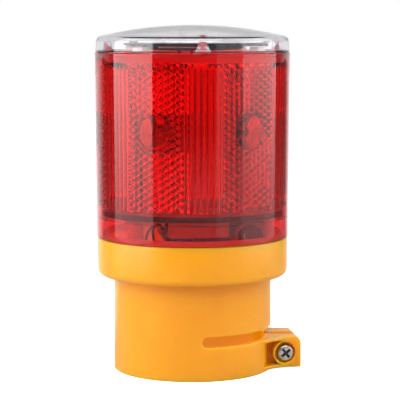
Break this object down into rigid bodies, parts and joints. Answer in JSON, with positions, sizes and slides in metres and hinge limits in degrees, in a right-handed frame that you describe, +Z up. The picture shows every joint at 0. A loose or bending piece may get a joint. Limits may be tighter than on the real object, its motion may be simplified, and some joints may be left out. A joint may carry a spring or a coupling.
{
  "type": "barricade warning light",
  "caption": "Solar barricade warning light with a red prismatic lens, a clear domed cap over a solar panel and a yellow post socket with a split screw clamp.",
  "frame": {"origin": "centre of the post socket's mouth, on the lamp's axis in the plane of the skirt's lower rim", "axes": "+Z up along the lamp's axis, +X from the axis towards the clamp's ears, -Y the front, where the clamp screw's head is"},
  "size_m": [0.0945, 0.09, 0.1593],
  "materials": {
    "housing_plastic": "satin yellow-orange moulding",
    "lens_plastic": "clear red, polished outside and prismatic inside",
    "cap_plastic": "water clear, polished",
    "solar_cells": "dark cells under clear resin",
    "carrier_plastic": "polished black",
    "pad_foam": "soft closed-cell foam",
    "seal_rubber": "soft black",
    "deck_board": "black solder mask",
    "circuit_board": "green solder mask",
    "module_resin": "black moulded resin",
    "capacitor_sleeve": "shrunk sleeve",
    "copper_winding": "enamelled wire",
    "battery_jacket": "shrunk plastic jacket over a steel can",
    "holder_plastic": "black moulding",
    "contact_nickel": "nickel-plated sheet and wire",
    "diode_epoxy": "clear epoxy",
    "button_plastic": "red button",
    "screw_steel": "zinc plated",
    "lead_red": "insulated wire",
    "lead_black": "insulated wire"
  },
  "bodies": {
    "lamp": {"housing": "housing_plastic", "rim_seal": "seal_rubber", "lens": "lens_plastic", "solar_cap": "cap_plastic", "solar_panel": "solar_cells", "panel_carrier": "carrier_plastic", "panel_pad_1": "pad_foam", "panel_pad_2": "pad_foam", "panel_pad_3": "pad_foam", "panel_pad_4": "pad_foam", "deck_seal": "seal_rubber", "light_deck": "deck_board", "led_strip_1": "deck_board", "led_strip_2": "deck_board", "led_strip_3": "deck_board", "led_strip_4": "deck_board", "led_strip_5": "deck_board", "led_strip_6": "deck_board", "led_1": "diode_epoxy", "led_2": "diode_epoxy", "led_3": "diode_epoxy", "led_4": "diode_epoxy", "led_5": "diode_epoxy", "led_6": "diode_epoxy", "control_board": "circuit_board", "control_module": "module_resin", "capacitor": "capacitor_sleeve", "coil": "copper_winding", "battery": "battery_jacket", "battery_holder": "holder_plastic", "battery_contact_front": "contact_nickel", "battery_contact_rear": "contact_nickel", "battery_spring": "contact_nickel", "switch_body": "holder_plastic", "switch_nut": "contact_nickel", "deck_screw_1": "screw_steel", "deck_screw_2": "screw_steel", "deck_screw_3": "screw_steel", "board_screw_1": "screw_steel", "board_screw_2": "screw_steel", "battery_lead_red": "lead_red", "battery_lead_black": "lead_black", "switch_lead_1": "lead_black", "switch_lead_2": "lead_black", "panel_lead_red": "lead_red", "panel_lead_black": "lead_black", "deck_lead_red": "lead_red", "deck_lead_black": "lead_black"},
    "clamp_screw": {"clamp_screw": "screw_steel"},
    "clamp_nut": {"clamp_nut": "screw_steel"},
    "switch_button": {"switch_button": "button_plastic"}
  },
  "joints": [
    {"name": "clamp_screw_turn", "type": "hinge", "parent": "lamp", "child": "clamp_screw", "pos_m": [0.0425, 0, 0.00715], "axis": [0, -1, 0], "range_deg": [0, 1440]},
    {"name": "clamp_nut_slide", "type": "slide", "parent": "lamp", "child": "clamp_nut", "axis": [0, 1, 0], "range_m": [0, 0.0028]},
    {"name": "switch_press", "type": "slide", "parent": "lamp", "child": "switch_button", "axis": [0, 0, 1], "range_m": [0, 0.002], "stiffness_N_per_m": 500, "springref_m": -0.001}
  ],
  "couplings": [
    {"joint": "clamp_screw_turn", "follows": "clamp_nut_slide", "rad_per_m": 8976}
  ]
}
